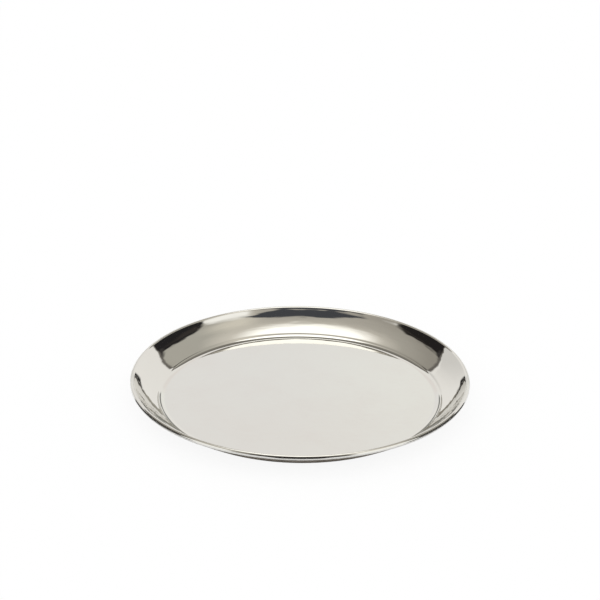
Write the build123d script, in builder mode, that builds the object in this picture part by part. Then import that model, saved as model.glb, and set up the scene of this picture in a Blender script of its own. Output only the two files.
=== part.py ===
from build123d import *
import os
from math import acos, atan2, degrees, sqrt

# Round coin tray of polished stainless steel, in millimetres.
# It is one disc of thin sheet: pressed to a flat floor and a hollow-curved flaring wall,
# with its edge rolled outward and under into a small hollow bead.
# The origin is the centre of the underside, +Z up.

# Overall size
outer_diameter = 140.0  # over the bead
overall_height = 9.5  # from the table to the top of the bead
sheet = 0.5  # thickness of the steel

# Pressed dish, measured on the upper skin
wall_width = 14.5  # level distance from the edge of the flat floor to the rim
corner_radius = 7.2  # tight curve between floor and wall
wall_radius = 34.5  # slow curve of the flaring wall

# Rolled bead
curl_bore = 1.0  # hollow left inside the bead
curl_gap = 0.6  # between the end of the curl and the underside of the wall

# Sizes that follow
floor_radius = outer_diameter / 2 - wall_width
bead_radius = curl_bore / 2 + sheet
bead_centre = Vector(outer_diameter / 2 - bead_radius, overall_height - bead_radius)
corner_centre = Vector(floor_radius, sheet + corner_radius)


def arc_centre(centre_a, reach_a, centre_b, reach_b):
    """Return the point that lies reach_a from centre_a and reach_b from centre_b.

    Of the two such points it is the one to the left of the way from a to b.
    """
    span = centre_b - centre_a
    along = (span.length**2 + reach_a**2 - reach_b**2) / (2 * span.length)
    aside = sqrt(reach_a**2 - along**2)
    direction = span.normalized()
    return centre_a + direction * along + direction.rotate(Axis.Z, 90) * aside


def slope_towards(centre, point):
    """Return the slope in degrees of an arc about centre where it faces point."""
    return degrees(atan2(point.X - centre.X, centre.Y - point.Y))


# The wall's arc touches the corner's arc from outside its curve and the bead from above,
# which settles its centre and both slopes at its ends.
wall_centre = arc_centre(
    corner_centre, wall_radius - corner_radius, bead_centre, wall_radius + bead_radius
)
corner_slope = slope_towards(wall_centre, corner_centre)
rim_slope = slope_towards(wall_centre, bead_centre)

# The curl stops where its inner edge comes within curl_gap of the wall it curls back to.
curl_turn = 360 - degrees(acos((bead_radius - sheet - curl_gap) / bead_radius))

print(f"wall slope {corner_slope:.1f} to {rim_slope:.1f} degrees, curl {curl_turn:.1f} degrees")


def skin(depth):
    """Draw the line that lies depth below the upper skin, and return its two ends.

    It runs from the axis along the floor, up the corner and the wall, and round the curl.
    """
    floor = Line((0, sheet - depth), (floor_radius, sheet - depth))
    corner = JernArc(floor @ 1, floor % 1, corner_radius + depth, corner_slope)
    JernArc(corner @ 1, corner % 1, wall_radius + depth, rim_slope - corner_slope)
    # An ellipse with equal radii is the same round arc, and takes half the facets.
    radius = bead_radius - depth
    curl = EllipticalCenterArc(
        bead_centre, radius, radius, start_angle=90 + rim_slope, arc_size=-curl_turn
    )
    return floor @ 0, curl @ 1


with BuildPart() as dish:
    with BuildSketch(Plane.XZ):
        with BuildLine():
            upper_middle, upper_edge = skin(0)
            lower_middle, lower_edge = skin(sheet)
            Line(upper_middle, lower_middle)
            Line(upper_edge, lower_edge)
        make_face()
    revolve(axis=Axis.Z)
dish.part.label = "dish"

os.makedirs("parts", exist_ok=True)
export_step(dish.part, "parts/dish.step")
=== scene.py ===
"""Polished steel coin tray on a white studio table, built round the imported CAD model."""

from math import atan2, cos, hypot, pi, radians, sin, sqrt

import bpy
import numpy as np
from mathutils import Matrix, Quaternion, Vector


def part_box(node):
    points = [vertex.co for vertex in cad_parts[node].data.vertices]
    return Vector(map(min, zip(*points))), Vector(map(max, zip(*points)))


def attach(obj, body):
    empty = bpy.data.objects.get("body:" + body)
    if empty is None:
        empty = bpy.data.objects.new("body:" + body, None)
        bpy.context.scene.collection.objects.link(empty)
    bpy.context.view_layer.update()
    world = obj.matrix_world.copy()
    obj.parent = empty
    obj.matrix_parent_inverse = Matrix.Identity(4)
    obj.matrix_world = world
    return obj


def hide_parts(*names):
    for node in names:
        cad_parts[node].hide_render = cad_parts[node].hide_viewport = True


bl_info = {
    "name": "Polished Coin Tray",
    "version": (1, 0, 0),
    "blender": (4, 5, 0),
    "location": "3D View > Sidebar > Coin Tray",
    "description": "Builds a round coin tray of polished steel and the white studio table it stands on",
    "category": "Add Mesh",
}

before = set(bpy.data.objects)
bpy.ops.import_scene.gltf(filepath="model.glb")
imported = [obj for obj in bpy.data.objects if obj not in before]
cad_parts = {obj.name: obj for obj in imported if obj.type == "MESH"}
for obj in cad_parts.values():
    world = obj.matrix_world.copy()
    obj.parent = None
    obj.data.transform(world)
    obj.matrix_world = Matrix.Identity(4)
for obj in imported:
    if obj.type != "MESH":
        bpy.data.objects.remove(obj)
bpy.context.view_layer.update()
dish_low, dish_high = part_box("dish")
MM = 0.001  # metres


class DishSettings(bpy.types.PropertyGroup):
    """Sizes of the pressed dish. The overall ones come from the dish in model.glb."""

    outer_radius: bpy.props.FloatProperty(
        name="Outer radius",
        description="From the axis to the outside of the rolled bead",
        default=min(-dish_low.x, dish_high.x, -dish_low.y, dish_high.y),
        subtype="DISTANCE",
        unit="LENGTH",
    )
    height: bpy.props.FloatProperty(
        name="Height",
        description="From the table to the top of the bead",
        default=dish_high.z,
        subtype="DISTANCE",
        unit="LENGTH",
    )
    sheet: bpy.props.FloatProperty(
        name="Sheet",
        description="Thickness of the steel",
        default=0.5 * MM,
        subtype="DISTANCE",
        unit="LENGTH",
    )
    wall_width: bpy.props.FloatProperty(
        name="Wall width",
        description="Level distance from the edge of the flat floor to the rim",
        default=14.5 * MM,
        subtype="DISTANCE",
        unit="LENGTH",
    )
    corner_radius: bpy.props.FloatProperty(
        name="Corner radius",
        description="Curve that lifts the sheet off the flat floor",
        default=7.2 * MM,
        subtype="DISTANCE",
        unit="LENGTH",
    )
    corner_slope: bpy.props.FloatProperty(
        name="Corner slope",
        description="Slope at which the corner meets the press line",
        default=radians(20.0),
        subtype="ANGLE",
    )
    line_radius: bpy.props.FloatProperty(
        name="Press line radius",
        description="Tight curve of the line that the punch's edge leaves round the foot of the wall",
        default=1.6 * MM,
        subtype="DISTANCE",
        unit="LENGTH",
    )
    line_slope: bpy.props.FloatProperty(
        name="Press line slope",
        description="Steepest slope of the press line",
        default=radians(44.0),
        subtype="ANGLE",
    )
    shoulder_radius: bpy.props.FloatProperty(
        name="Shoulder radius",
        description="Reverse curve between the press line and the wall",
        default=3.0 * MM,
        subtype="DISTANCE",
        unit="LENGTH",
    )
    wall_radius: bpy.props.FloatProperty(
        name="Wall radius",
        description="Slow hollow curve of the flaring wall",
        default=28.0 * MM,
        subtype="DISTANCE",
        unit="LENGTH",
    )
    bead_radius: bpy.props.FloatProperty(
        name="Bead radius",
        description="Outer radius of the rolled bead",
        default=1.0 * MM,
        subtype="DISTANCE",
        unit="LENGTH",
    )
    curl_turn: bpy.props.FloatProperty(
        name="Curl turn",
        description="How far round the edge is rolled",
        default=radians(264.0),
        subtype="ANGLE",
    )
    segments: bpy.props.IntProperty(
        name="Segments", description="Steps round the axis", default=600, min=32
    )


class FinishSettings(bpy.types.PropertyGroup):
    """Finish of the steel."""

    steel: bpy.props.StringProperty(
        name="Steel", description="Colour of the polished steel, as sRGB hex", default="#E0DFDB"
    )
    haze: bpy.props.StringProperty(
        name="Haze",
        description="Colour of the steel under a trace of grease from handling, as sRGB hex",
        default="#DFDDD9",
    )
    polish: bpy.props.FloatProperty(
        name="Polish", description="Roughness where the buffing is best", default=0.02, min=0.0, max=1.0
    )
    smear: bpy.props.FloatProperty(
        name="Smear", description="Roughness where the haze is thickest", default=0.06, min=0.0, max=1.0
    )
    ring_width: bpy.props.FloatProperty(
        name="Ring width",
        description="Width of the faint waves that the buffing wheel leaves round the axis",
        default=1.6 * MM,
        subtype="DISTANCE",
        unit="LENGTH",
    )
    ring_depth: bpy.props.FloatProperty(
        name="Ring depth",
        description="Height of the buffing waves",
        default=0.045 * MM,
        subtype="DISTANCE",
        unit="LENGTH",
    )
    peel_width: bpy.props.FloatProperty(
        name="Peel width",
        description="Width of the slight unevenness of the pressed sheet",
        default=3.0 * MM,
        subtype="DISTANCE",
        unit="LENGTH",
    )
    peel_depth: bpy.props.FloatProperty(
        name="Peel depth",
        description="Height of the unevenness of the pressed sheet",
        default=0.006 * MM,
        subtype="DISTANCE",
        unit="LENGTH",
    )
    haze_width: bpy.props.FloatProperty(
        name="Haze width",
        description="Width of the patches of haze",
        default=18.0 * MM,
        subtype="DISTANCE",
        unit="LENGTH",
    )


class StudioSettings(bpy.types.PropertyGroup):
    """The table, the lights and the camera."""

    table_reach: bpy.props.FloatProperty(
        name="Table reach",
        description="From the tray to the edge of the table",
        default=6.0,
        subtype="DISTANCE",
        unit="LENGTH",
    )
    table: bpy.props.StringProperty(
        name="Table", description="Colour of the table, as sRGB hex", default="#FFFFFF"
    )
    table_glow: bpy.props.FloatProperty(
        name="Table glow",
        description="How far the camera sees the table plain white, without the tray's shadow",
        default=0.9,
        min=0.0,
        max=1.0,
    )
    camera_elevation: bpy.props.FloatProperty(
        name="Camera elevation",
        description="Angle above the table from which the tray is seen",
        default=radians(26.81),
        subtype="ANGLE",
    )
    camera_distance: bpy.props.FloatProperty(
        name="Camera distance",
        description="From the camera to the middle of the tray's underside",
        default=1.26,
        subtype="DISTANCE",
        unit="LENGTH",
    )
    camera_roll: bpy.props.FloatProperty(
        name="Camera roll",
        description="Small tilt of the picture, which sets the tray's right side lower",
        default=radians(0.59),
        subtype="ANGLE",
    )
    lens_pixels: bpy.props.FloatProperty(
        name="Lens in pixels",
        description="Focal length as a count of the picture's pixels",
        default=3045.9,
    )


# Picture frame, in pixels, and the pixel on which the middle of the tray's underside falls
PICTURE_SIDE = 600.0
BASE_PIXEL = (299.85, 397.86)
SENSOR_WIDTH = 36.0  # millimetres of film across the picture
CLIP_SPAN = (0.01, 100.0)  # metres


def linear_colour(code, strength=1.0):
    """Turn an sRGB hex code such as #E0DFDB to linear red, green and blue times a strength.

    Alpha is one. The steps are those of the sRGB standard.
    """
    values = np.array([int(code[i : i + 2], 16) for i in (1, 3, 5)]) / 255.0
    linear = np.where(values <= 0.04045, values / 12.92, ((values + 0.055) / 1.055) ** 2.4)
    return (*(strength * linear), 1.0)


def add_node(tree, kind, settings=None, links=None, constants=None):
    """Add one node: its settings, the sockets that feed its inputs, and its constant inputs."""
    node = tree.nodes.new(kind)
    for name, value in (settings or {}).items():
        setattr(node, name, value)
    for place, value in (constants or {}).items():
        node.inputs[place].default_value = value
    for place, socket in (links or {}).items():
        tree.links.new(socket, node.inputs[place])
    return node


# Points along each stretch of the profile
FLOOR_STEPS = 4
CORNER_STEPS = 12
LINE_STEPS = 9
WALL_STEPS = 18
CURL_STEPS = 28
EDGE_STEPS = 7


def arc(centre, radius, start, end, steps):
    """Points of a round arc: centre plus radius times (sine, minus cosine) of a slope that runs evenly."""
    slope = np.linspace(start, end, steps)
    return np.stack([centre[0] + radius * np.sin(slope), centre[1] - radius * np.cos(slope)], axis=1)


def shared_centre(first, reach_first, second, reach_second):
    """The point that lies at both reaches from the two centres, on the left of the way between them."""
    span = second - first
    length = hypot(*span)
    along = (length**2 + reach_first**2 - reach_second**2) / (2 * length)
    aside = sqrt(reach_first**2 - along**2)
    direction = span / length
    return first + direction * along + np.array([-direction[1], direction[0]]) * aside


def downhill(slope):
    """Unit vector from the centre of a hollow arc to its point of the given slope."""
    return np.array([sin(slope), -cos(slope)])


def dish_profile(size, depth):
    """The line that lies depth below the upper skin, as points of (radius, height).

    It is a chain of arcs that touch: the flat floor, the corner, the tight press line, the
    shoulder that curves the other way, the slow hollow wall, and the bead that turns outward.
    """
    floor_radius = size.outer_radius - size.wall_width
    bead = np.array([size.outer_radius - size.bead_radius, size.height - size.bead_radius])
    corner = np.array([floor_radius, size.sheet + size.corner_radius])
    line = corner + (size.corner_radius - size.line_radius) * downhill(size.corner_slope)
    shoulder = line + (size.line_radius + size.shoulder_radius) * downhill(size.line_slope)
    wall = shared_centre(
        shoulder, size.wall_radius + size.shoulder_radius, bead, size.wall_radius + size.bead_radius
    )
    foot_slope = atan2(shoulder[0] - wall[0], wall[1] - shoulder[1])
    rim_slope = atan2(bead[0] - wall[0], wall[1] - bead[1])
    floor = np.stack(
        [np.linspace(0.0, floor_radius, FLOOR_STEPS), np.full(FLOOR_STEPS, size.sheet - depth)], axis=1
    )
    rise = arc(corner, size.corner_radius + depth, 0.0, size.corner_slope, CORNER_STEPS)
    press = arc(line, size.line_radius + depth, size.corner_slope, size.line_slope, LINE_STEPS)
    turn = arc(shoulder, depth - size.shoulder_radius, size.line_slope, foot_slope, LINE_STEPS)
    flare = arc(wall, size.wall_radius + depth, foot_slope, rim_slope, WALL_STEPS)
    curl = arc(bead, depth - size.bead_radius, rim_slope, rim_slope - size.curl_turn, CURL_STEPS)
    return np.concatenate([floor, rise[1:], press[1:], turn[1:], flare[1:], curl[1:]])


def rounded_edge(upper_end, lower_end):
    """The sheared edge of the sheet, deburred: a half round from the upper skin to the lower."""
    middle = (upper_end + lower_end) / 2
    across = (upper_end - lower_end) / 2
    ahead = np.array([-across[1], across[0]])
    turn = np.linspace(0.0, pi, EDGE_STEPS)[1:-1, None]
    return middle + across * np.cos(turn) + ahead * np.sin(turn)


def closed_revolve(name, profile, segments):
    """Revolve a profile that starts and ends on the axis: each point goes round a level circle.

    The surface is (r(u) cos v, r(u) sin v, z(u)), with u along the profile and v round the axis.
    """
    rings = profile[1:-1]
    angle = np.linspace(0.0, 2 * pi, segments, endpoint=False)
    x = rings[:, :1] * np.cos(angle)
    y = rings[:, :1] * np.sin(angle)
    z = np.repeat(rings[:, 1:], segments, axis=1)
    poles = np.array([[0.0, 0.0, profile[0, 1]], [0.0, 0.0, profile[-1, 1]]])
    vertices = np.concatenate([np.stack([x, y, z], axis=-1).reshape(-1, 3), poles])
    ring, place = np.meshgrid(np.arange(len(rings) - 1), np.arange(segments), indexing="ij")
    after = (place + 1) % segments
    quads = np.stack(
        [
            ring * segments + place,
            ring * segments + segments + place,
            ring * segments + segments + after,
            ring * segments + after,
        ],
        axis=-1,
    ).reshape(-1, 4)
    here = np.arange(segments)
    there = (here + 1) % segments
    last = (len(rings) - 1) * segments
    top = np.stack([np.full(segments, len(vertices) - 2), here, there], axis=1)
    bottom = np.stack([np.full(segments, len(vertices) - 1), last + there, last + here], axis=1)
    mesh = bpy.data.meshes.new(name)
    mesh.from_pydata(vertices.tolist(), [], top.tolist() + quads.tolist() + bottom.tolist())
    mesh.polygons.foreach_set("use_smooth", np.ones(len(mesh.polygons), dtype=bool))
    mesh.update()
    return mesh


# A buffing wave runs on along the rim for about one part in this many of the radius
RING_TURNS = 7.0
# The floor is buffed flat: the waves start at this radius, just above the press line
WALL_FOOT = 59.5 * MM
# Noise values at which the haze starts and is at its thickest
HAZE_SPAN = (0.35, 0.75)


def polished_steel(finish):
    """Stainless steel sheet, pressed and then buffed on a wheel to a mirror.

    The eye gets sharp reflections with a faintly warm grey tint. Their edges break into fine
    streaks that follow the rim, because the wheel leaves low waves round the axis, and ripple a
    little, because pressed sheet is never quite even. Handling leaves a trace of haze.
    The wheel's own scratches are some hundredths of a millimetre wide, too fine to show, so the
    waves are drawn as wide as ring_width.
    """
    material = bpy.data.materials.new("mirror_polished_stainless_steel")
    material.use_nodes = True
    tree = material.node_tree
    tree.nodes.clear()
    place = add_node(tree, "ShaderNodeTexCoord").outputs["Object"]
    level = add_node(
        tree,
        "ShaderNodeVectorMath",
        settings={"operation": "MULTIPLY"},
        links={0: place},
        constants={1: (1.0, 1.0, 0.0)},
    ).outputs["Vector"]
    radius = add_node(
        tree, "ShaderNodeVectorMath", settings={"operation": "LENGTH"}, links={0: level}
    ).outputs["Value"]
    outward = add_node(
        tree, "ShaderNodeVectorMath", settings={"operation": "NORMALIZE"}, links={0: level}
    ).outputs["Vector"]
    ring = add_node(
        tree,
        "ShaderNodeMath",
        settings={"operation": "MULTIPLY"},
        links={0: radius},
        constants={1: 1.0 / finish.ring_width},
    ).outputs[0]
    along = add_node(
        tree,
        "ShaderNodeVectorMath",
        settings={"operation": "SCALE"},
        links={0: outward},
        constants={"Scale": RING_TURNS},
    ).outputs["Vector"]
    lift = add_node(tree, "ShaderNodeCombineXYZ", links={"Z": ring}).outputs["Vector"]
    round_axis = add_node(
        tree, "ShaderNodeVectorMath", settings={"operation": "ADD"}, links={0: along, 1: lift}
    ).outputs["Vector"]
    swell = add_node(
        tree,
        "ShaderNodeTexNoise",
        links={"Vector": round_axis},
        constants={"Scale": 1.0, "Detail": 1.0, "Roughness": 0.4},
    ).outputs["Fac"]
    centred = add_node(
        tree, "ShaderNodeMath", settings={"operation": "SUBTRACT"}, links={0: swell}, constants={1: 0.5}
    ).outputs[0]
    on_wall = add_node(
        tree,
        "ShaderNodeMapRange",
        settings={"interpolation_type": "SMOOTHSTEP"},
        links={"Value": radius},
        constants={"From Min": WALL_FOOT, "From Max": WALL_FOOT + finish.peel_width},
    ).outputs["Result"]
    waves = add_node(
        tree, "ShaderNodeMath", settings={"operation": "MULTIPLY"}, links={0: centred, 1: on_wall}
    ).outputs[0]
    peel = add_node(
        tree,
        "ShaderNodeTexNoise",
        links={"Vector": place},
        constants={"Scale": 1.0 / finish.peel_width, "Detail": 0.0},
    ).outputs["Fac"]
    patches = add_node(
        tree,
        "ShaderNodeTexNoise",
        links={"Vector": place},
        constants={"Scale": 1.0 / finish.haze_width, "Detail": 3.0, "Roughness": 0.6},
    ).outputs["Fac"]
    thickness = add_node(
        tree,
        "ShaderNodeMapRange",
        settings={"interpolation_type": "SMOOTHSTEP"},
        links={"Value": patches},
        constants={"From Min": HAZE_SPAN[0], "From Max": HAZE_SPAN[1]},
    ).outputs["Result"]
    roughness = add_node(
        tree,
        "ShaderNodeMapRange",
        links={"Value": thickness},
        constants={"To Min": finish.polish, "To Max": finish.smear},
    ).outputs["Result"]
    colour = add_node(
        tree,
        "ShaderNodeMix",
        settings={"data_type": "RGBA"},
        links={"Factor": thickness},
        constants={
            "A": linear_colour(finish.steel),
            "B": linear_colour(finish.haze),
        },
    ).outputs["Result"]
    uneven = add_node(
        tree,
        "ShaderNodeBump",
        links={"Height": peel},
        constants={"Strength": 1.0, "Distance": finish.peel_depth},
    ).outputs["Normal"]
    buffed = add_node(
        tree,
        "ShaderNodeBump",
        links={"Height": waves, "Normal": uneven},
        constants={"Strength": 1.0, "Distance": finish.ring_depth},
    ).outputs["Normal"]
    shader = add_node(
        tree,
        "ShaderNodeBsdfPrincipled",
        links={"Base Color": colour, "Roughness": roughness, "Normal": buffed},
        constants={"Metallic": 1.0},
    )
    add_node(tree, "ShaderNodeOutputMaterial", links={"Surface": shader.outputs["BSDF"]})
    return material


class COINTRAY_OT_dish(bpy.types.Operator):
    """Build the pressed dish with its rolled rim"""

    bl_idname = "cointray.dish"
    bl_label = "Dish"

    def execute(self, context):
        size = context.scene.cointray_dish
        upper = dish_profile(size, 0.0)
        lower = dish_profile(size, size.sheet)
        profile = np.concatenate([upper, rounded_edge(upper[-1], lower[-1]), lower[::-1]])
        mesh = closed_revolve("steel_dish", profile, size.segments)
        dish = bpy.data.objects.new("steel_dish", mesh)
        context.scene.collection.objects.link(dish)
        mesh.materials.append(polished_steel(context.scene.cointray_finish))
        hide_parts("dish")
        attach(dish, "root")
        return {"FINISHED"}


def both_sides(corners, **looks):
    """Two cards that are each other's mirror image, on the left and on the right of the tray."""
    return [
        dict(looks, corners=tuple((side * across, along) for across, along in corners))
        for side in (-1, 1)
    ]


# What the polished steel mirrors of the studio. A card is a flat patch with straight edges, given
# by its corners as azimuth and elevation in degrees, seen from the tray: azimuth 0 is behind the
# tray, 90 on its right and 180 at the camera. A lamp is an oval on a level ceiling one unit above
# the tray, given by its centre and its reach to the right and to the back. Each has a colour, a
# strength, where 1 is white, and a soft edge: in degrees for each edge of a card, starting at its
# first corner, and for a lamp as the shares of its reach at which it starts and ends to fade.
# A later one covers an earlier one.
ROOM = dict(colour="#FFF8EA", strength=0.36)
PATCHES = [
    # ceiling, paler towards the light overhead and on the right
    dict(colour="#FFF9EC", strength=0.52, centre=(0.1, 0.05), reach=(1.5, 1.5), fade_shares=(0.3, 1.0)),
    dict(colour="#FFFBEE", strength=0.50, centre=(1.1, 0.6), reach=(1.1, 1.1), fade_shares=(0.4, 1.0)),
    dict(colour="#FFF9EC", strength=0.74, centre=(0, 0.25), reach=(0.72, 0.60), fade_shares=(0.5, 1.0)),
    dict(
        colour="#FFF9EA", strength=0.78, soft=(8, 6, 8, 6),
        corners=((84, 50), (90, 68), (125, 68), (135, 50)),
    ),
    # darker ceiling between the backdrop and the light behind it
    dict(
        colour="#FFF8EA", strength=0.22, soft=(2, 8, 2, 8),
        corners=((-24, 54), (24, 54), (24, 34), (-24, 34)),
    ),
    # light overhead, and the one behind the tray
    dict(colour="#FFFEF8", strength=1.6, centre=(-0.05, 0.2), reach=(0.475, 0.42), fade_shares=(0.45, 1)),
    dict(colour="#FFFEF8", strength=1.8, centre=(0, 0.47), reach=(0.27, 0.27), fade_shares=(0.88, 1.06)),
    # dark end of the room behind the camera, paler at its top
    dict(
        colour="#ECF2FF", strength=0.08, soft=(1.6, 2, 0.8, 1.2, 2),
        corners=((-120, 52.6), (120, 52.6), (180, 55.2), (-150, 53), (-124, 51)),
    ),
    dict(
        colour="#ECF2FF", strength=0.08, soft=(1.6, 1.2, 1.2, 0.8, 2),
        corners=((-120, 52.6), (120, 52.6), (140, 55.5), (150, 53.3), (180, 55.2)),
    ),
    *both_sides(
        colour="#FFE8D0", strength=0.015, soft=(3, 3, 2, 1.5, 2, 4),
        corners=((147, -30), (147, 40), (160, 50), (180, 54), (190, 54), (190, -30)),
    ),
    # softboxes on the left and the right
    dict(
        colour="#FFFEF9", strength=1.12, soft=(1, 2, 6, 3),
        corners=((-98, 41), (-98, -30), (-138, -30), (-132, 42)),
    ),
    dict(
        colour="#FFFEF9", strength=1.17, soft=(4, 4, 3, 4, 6, 2),
        corners=((96, 42), (101, 48), (131, 55.5), (139, 48), (148, -30), (97, -30)),
    ),
    # black cards beside the backdrop, each with a paler streak where it bends
    dict(
        colour="#FFF2EE", strength=0.02, soft=(1.6, 1.6, 2.2, 1.5, 2, 2),
        corners=((-50, 25), (-62, 35), (-82, 44.4), (-99, 40.5), (-98, 18.5), (-52, 13)),
    ),
    dict(
        colour="#FFEBDC", strength=0.07, soft=(1, 4, 1, 4),
        corners=((-70, 35.5), (-66, 34), (-96, 40.5), (-96, 42)),
    ),
    dict(
        colour="#FBF4F8", strength=0.022, soft=(1.0, 1.4, 1.5, 1, 2, 2),
        corners=((50, 26.5), (60, 35.6), (81, 45), (98, 41), (97, 18.5), (52, 13)),
    ),
    dict(
        colour="#FFEBDC", strength=0.08, soft=(1, 4, 1, 4),
        corners=((68, 36.5), (64, 34), (90, 41), (90, 42.6)),
    ),
    # low black boards under them
    dict(
        colour="#FFF2EE", strength=0.02, soft=(0.8, 1, 2, 2),
        corners=((-99, 11.5), (-46, 11.5), (-30, -30), (-98, -30)),
    ),
    dict(
        colour="#FBF4F8", strength=0.02, soft=(0.8, 1, 2, 2),
        corners=((98, 11.5), (46, 11.5), (30, -30), (97, -30)),
    ),
    # dark clamps at the upper corners of the backdrop
    *both_sides(
        colour="#FFF6F0", strength=0.05, soft=(1.5, 1, 1, 1),
        corners=((47, 30.5), (57, 30.5), (58, 26), (49, 26)),
    ),
    # white backdrop: its dark edge, the backdrop, and its darker left side
    dict(
        colour="#FFF6EA", strength=0.16, soft=(0.7, 0.7, 0.7, 1, 0.7, 0.7),
        corners=((-53, 27.6), (53, 27.6), (58, 20), (45.6, -1), (-45.6, -1), (-61, 21)),
    ),
    dict(
        colour="#FFFDF9", strength=0.99, soft=(0.7, 0.7, 0.7, 1, 0.7, 0.7),
        corners=((-52, 26.2), (52, 26.2), (57.4, 20), (45, 0), (-45, 0), (-60, 21)),
    ),
    dict(
        colour="#FFFDF9", strength=0.78, soft=(0.7, 12, 1, 0.7, 0.7),
        corners=((-52, 26.2), (-38, 30), (-30, 0), (-45, 0), (-60, 21)),
    ),
    # the small part of it that the flat floor mirrors: darker on the left, warmer near the top
    dict(
        colour="#FFFFFA", strength=1.0, soft=(1.5, 4, 1.5, 4),
        corners=((-14, 33), (14, 33), (14, 23), (-14, 23)),
    ),
    dict(
        colour="#FFFEFC", strength=0.95, soft=(1.5, 2, 1.5, 4),
        corners=((-14, 33), (1, 33), (1, 23), (-14, 23)),
    ),
    dict(
        colour="#FFFAF6", strength=0.935, soft=(1.5, 4, 1.6, 4),
        corners=((-14, 33), (14, 33), (14, 27), (-14, 27)),
    ),
    # grey stands in front of the backdrop, each of two tubes, and their feet
    *both_sides(
        colour="#FCFFF8", strength=0.25, soft=(1.2, 1.2, 1.2, 1.2),
        corners=((17, 22), (13, 25), (8.5, 17), (12, 15.5)),
    ),
    *both_sides(
        colour="#FCFFF8", strength=0.25, soft=(1.2, 1.2, 1.2, 1.2),
        corners=((11.5, 17), (8, 17), (4.5, 4), (8.5, 4)),
    ),
    *both_sides(
        colour="#FFF8F4", strength=0.02, soft=(1, 1, 1, 1),
        corners=((22.5, -4), (22.5, 3.5), (30, 4.8), (31, -4)),
    ),
]
LEAST_RISE = 0.05  # keeps the ceiling's plane from running off at the horizon


def sight_line(azimuth, elevation):
    """Unit vector from the tray towards an azimuth and elevation in degrees."""
    a, e = radians(azimuth), radians(elevation)
    return np.array([sin(a) * cos(e), cos(a) * cos(e), sin(e)])


def inside_share(tree, place, points, blurs, metric=3):
    """How far a place lies inside a flat outline: the product of one soft step for each edge.

    An edge and the origin span a plane, and the place times the plane's normal is its offset from
    the edge. For unit directions it is the sine of an angle, and metric is 3. For points of the
    table, written with a third coordinate of 1, it is a distance, and metric is 2.
    """
    middle = sum(points)
    share = None
    for start, end, blur in zip(points, points[1:] + points[:1], blurs):
        normal = np.cross(start, end)
        normal /= np.linalg.norm(normal[:metric]) * np.sign(normal @ middle)
        offset = add_node(
            tree,
            "ShaderNodeVectorMath",
            settings={"operation": "DOT_PRODUCT"},
            links={0: place},
            constants={1: normal},
        ).outputs["Value"]
        step = add_node(
            tree,
            "ShaderNodeMapRange",
            settings={"interpolation_type": "SMOOTHSTEP"},
            links={"Value": offset},
            constants={"From Min": -blur, "From Max": blur},
        ).outputs["Result"]
        if share is not None:
            step = add_node(
                tree, "ShaderNodeMath", settings={"operation": "MULTIPLY"}, links={0: share, 1: step}
            ).outputs[0]
        share = step
    return share


def lamp_share(tree, ceiling, centre, reach, fade_shares):
    """How far a direction lies on a lamp: one less a soft step of its oval distance from the centre."""
    scaled = add_node(
        tree,
        "ShaderNodeVectorMath",
        settings={"operation": "MULTIPLY_ADD"},
        links={0: ceiling},
        constants={
            1: (1 / reach[0], 1 / reach[1], 0.0),
            2: (-centre[0] / reach[0], -centre[1] / reach[1], 0.0),
        },
    ).outputs["Vector"]
    distance = add_node(
        tree, "ShaderNodeVectorMath", settings={"operation": "LENGTH"}, links={0: scaled}
    ).outputs["Value"]
    return add_node(
        tree,
        "ShaderNodeMapRange",
        settings={"interpolation_type": "SMOOTHSTEP"},
        links={"Value": distance},
        constants={"From Min": fade_shares[1], "From Max": fade_shares[0]},
    ).outputs["Result"]


def layered(tree, ground, layers):
    """Colour of a ground with layers over it, each of which hides what is below it by its share."""
    below = {}
    for share, colour in layers:
        mix = add_node(
            tree,
            "ShaderNodeMix",
            settings={"data_type": "RGBA"},
            links={"Factor": share, **below},
            constants={"A": ground, "B": colour},
        )
        below = {"A": mix.outputs["Result"]}
    return below["A"]


def mirrored_studio(tree):
    """Colour of the studio in the direction of a mirrored ray: the room, and each patch over it."""
    direction = add_node(tree, "ShaderNodeTexCoord").outputs["Generated"]
    rise = add_node(
        tree,
        "ShaderNodeVectorMath",
        settings={"operation": "DOT_PRODUCT"},
        links={0: direction},
        constants={1: (0.0, 0.0, 1.0)},
    ).outputs["Value"]
    height = add_node(
        tree,
        "ShaderNodeMath",
        settings={"operation": "MAXIMUM"},
        links={0: rise},
        constants={1: LEAST_RISE},
    ).outputs[0]
    stretch = add_node(
        tree, "ShaderNodeMath", settings={"operation": "DIVIDE"}, links={1: height}, constants={0: 1.0}
    ).outputs[0]
    ceiling = add_node(
        tree,
        "ShaderNodeVectorMath",
        settings={"operation": "SCALE"},
        links={0: direction, "Scale": stretch},
    ).outputs["Vector"]
    layers = []
    for patch in PATCHES:
        if "corners" in patch:
            points = [sight_line(*corner) for corner in patch["corners"]]
            blurs = [sin(radians(angle)) for angle in patch["soft"]]
            share = inside_share(tree, direction, points, blurs)
        else:
            share = lamp_share(tree, ceiling, patch["centre"], patch["reach"], patch["fade_shares"])
        layers.append((share, linear_colour(patch["colour"], patch["strength"])))
    return layered(tree, linear_colour(ROOM["colour"], ROOM["strength"]), layers)


class COINTRAY_OT_stage(bpy.types.Operator):
    """Lay the white table, light the studio and set the camera"""

    bl_idname = "cointray.stage"
    bl_label = "Stage"

    def execute(self, context):
        studio = context.scene.cointray_studio
        lay_table(context.scene, studio)
        light_studio(context.scene)
        set_camera(context.scene, studio)
        return {"FINISHED"}


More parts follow.
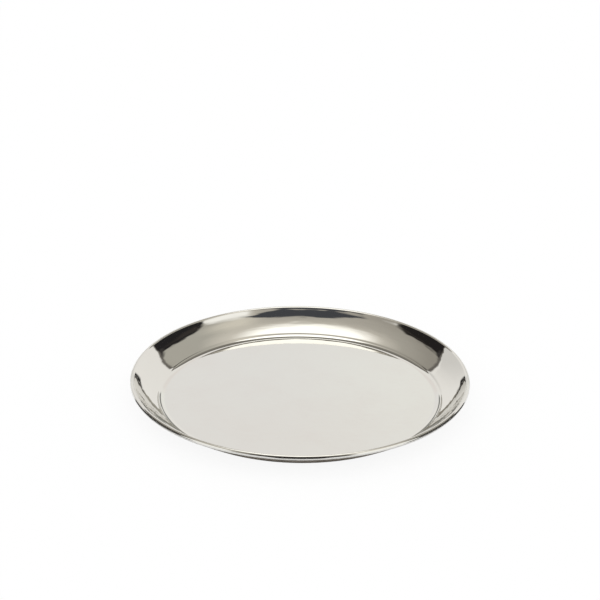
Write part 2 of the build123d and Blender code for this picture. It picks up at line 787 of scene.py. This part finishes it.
def set_camera(scene, studio):
    """Stand the camera at its elevation and distance and turn it so that the middle of the
    tray's underside falls on its pixel, with the picture tilted by the roll."""
    data = bpy.data.cameras.new("studio_camera")
    data.sensor_width = SENSOR_WIDTH
    data.lens = SENSOR_WIDTH * studio.lens_pixels / PICTURE_SIDE
    data.clip_start, data.clip_end = CLIP_SPAN
    camera = bpy.data.objects.new("studio_camera", data)
    scene.collection.objects.link(camera)
    place = studio.camera_distance * Vector(
        (0.0, -cos(studio.camera_elevation), sin(studio.camera_elevation))
    )
    half = PICTURE_SIDE / 2
    sight = Vector((BASE_PIXEL[0] - half, half - BASE_PIXEL[1], -studio.lens_pixels))
    look = (-place).to_track_quat("-Z", "Y")
    roll = Quaternion((0.0, 0.0, 1.0), studio.camera_roll)
    camera.location = place
    camera.rotation_mode = "QUATERNION"
    camera.rotation_quaternion = look @ roll @ sight.rotation_difference(Vector((0.0, 0.0, -1.0)))
    scene.camera = camera
    scene.view_settings.view_transform = "Standard"


# Dark patches on the table, which only the steel mirrors. Three black cards draw the dark line round
# the outside of the bead, and a grey patch under the tray is painted shade beneath its wall. Their
# corners are in metres from the middle of the tray, to the right and to the back.
TABLE_CARDS_AND_PAINTED_SHADE = [
    *both_sides(
        colour="#151312", corners=((0.080, -0.004), (0.300, 0.190), (0.300, -0.160), (0.065, -0.060))
    ),
    dict(
        colour="#151312",
        corners=((-0.014, -0.089), (0.014, -0.089), (0.150, -0.400), (-0.150, -0.400)),
    ),
    # painted shade: a grey patch under the tray, darkening the table beneath its wall in the steel's
    # mirror
    dict(
        colour="#BFB8B0",
        corners=(
            (0.062, 0.026), (0.026, 0.062), (-0.026, 0.062), (-0.062, 0.026),
            (-0.062, -0.026), (-0.026, -0.062), (0.026, -0.062), (0.062, -0.026),
        ),
    ),
]
TABLE_PATCH_BLUR = 2.0 * MM


def lay_table(scene, studio):
    """A wide sheet of matt white card, level with the tray's underside.

    The camera sees it nearly white, with a faint shadow. The steel mirrors it as it is lit, with
    the dark cards on it and a grey patch of painted shade under the tray.
    """
    reach = studio.table_reach
    mesh = bpy.data.meshes.new("table")
    corners = [(-reach, -reach, 0.0), (reach, -reach, 0.0), (reach, reach, 0.0), (-reach, reach, 0.0)]
    mesh.from_pydata(corners, [], [(0, 1, 2, 3)])
    table = bpy.data.objects.new("table", mesh)
    scene.collection.objects.link(table)
    material = bpy.data.materials.new("matt_white_card")
    material.use_nodes = True
    tree = material.node_tree
    tree.nodes.clear()
    white = linear_colour(studio.table)
    path = add_node(tree, "ShaderNodeLightPath")
    spot = add_node(
        tree,
        "ShaderNodeVectorMath",
        settings={"operation": "ADD"},
        links={0: add_node(tree, "ShaderNodeTexCoord").outputs["Object"]},
        constants={1: (0.0, 0.0, 1.0)},
    ).outputs["Vector"]
    layers = []
    # each patch shows in mirrored rays only: the black cards, and the painted shade under the tray
    for card in TABLE_CARDS_AND_PAINTED_SHADE:
        points = [np.array([*corner, 1.0]) for corner in card["corners"]]
        share = inside_share(tree, spot, points, [TABLE_PATCH_BLUR] * len(points), metric=2)
        mirrored = add_node(
            tree,
            "ShaderNodeMath",
            settings={"operation": "MULTIPLY"},
            links={0: share, 1: path.outputs["Is Glossy Ray"]},
        ).outputs[0]
        layers.append((mirrored, linear_colour(card["colour"])))
    shade = add_node(tree, "ShaderNodeBsdfDiffuse", links={"Color": layered(tree, white, layers)})
    glow = add_node(tree, "ShaderNodeEmission", constants={"Color": white, "Strength": 1.0})
    share = add_node(
        tree,
        "ShaderNodeMapRange",
        links={"Value": path.outputs["Is Camera Ray"]},
        constants={"To Min": 0.0, "To Max": studio.table_glow},
    )
    mix = add_node(
        tree,
        "ShaderNodeMixShader",
        links={0: share.outputs["Result"], 1: shade.outputs["BSDF"], 2: glow.outputs["Emission"]},
    )
    add_node(tree, "ShaderNodeOutputMaterial", links={"Surface": mix.outputs["Shader"]})
    mesh.materials.append(material)


def light_studio(scene):
    """A white world for the camera and the table, and the mirrored studio for the steel."""
    world = bpy.data.worlds.new("studio")
    scene.world = world
    world.use_nodes = True
    tree = world.node_tree
    tree.nodes.clear()
    path = add_node(tree, "ShaderNodeLightPath")
    mirrored = add_node(
        tree, "ShaderNodeBackground", links={"Color": mirrored_studio(tree)}, constants={"Strength": 1.0}
    )
    white = add_node(
        tree, "ShaderNodeBackground", constants={"Color": (1.0, 1.0, 1.0, 1.0), "Strength": 1.0}
    )
    mix = add_node(
        tree,
        "ShaderNodeMixShader",
        links={
            0: path.outputs["Is Glossy Ray"],
            1: white.outputs["Background"],
            2: mirrored.outputs["Background"],
        },
    )
    add_node(tree, "ShaderNodeOutputWorld", links={"Surface": mix.outputs["Shader"]})


class COINTRAY_PT_tray(bpy.types.Panel):
    """Lists the steps that build the tray and its stage"""

    bl_idname = "COINTRAY_PT_tray"
    bl_label = "Coin Tray"
    bl_space_type = "VIEW_3D"
    bl_region_type = "UI"
    bl_category = "Coin Tray"

    def draw(self, context):
        for operator in STEPS:
            self.layout.operator(operator.bl_idname)


STEPS = (COINTRAY_OT_dish, COINTRAY_OT_stage)
SETTINGS = {
    "cointray_dish": DishSettings,
    "cointray_finish": FinishSettings,
    "cointray_studio": StudioSettings,
}
CLASSES = (*SETTINGS.values(), *STEPS, COINTRAY_PT_tray)


def register():
    for kind in CLASSES:
        bpy.utils.register_class(kind)
    for name, kind in SETTINGS.items():
        setattr(bpy.types.Scene, name, bpy.props.PointerProperty(type=kind))


def unregister():
    for name in SETTINGS:
        delattr(bpy.types.Scene, name)
    for kind in reversed(CLASSES):
        bpy.utils.unregister_class(kind)


def main():
    register()
    bpy.ops.cointray.dish()
    bpy.ops.cointray.stage()
    bpy.context.view_layer.update()


if __name__ == "__main__":
    main()
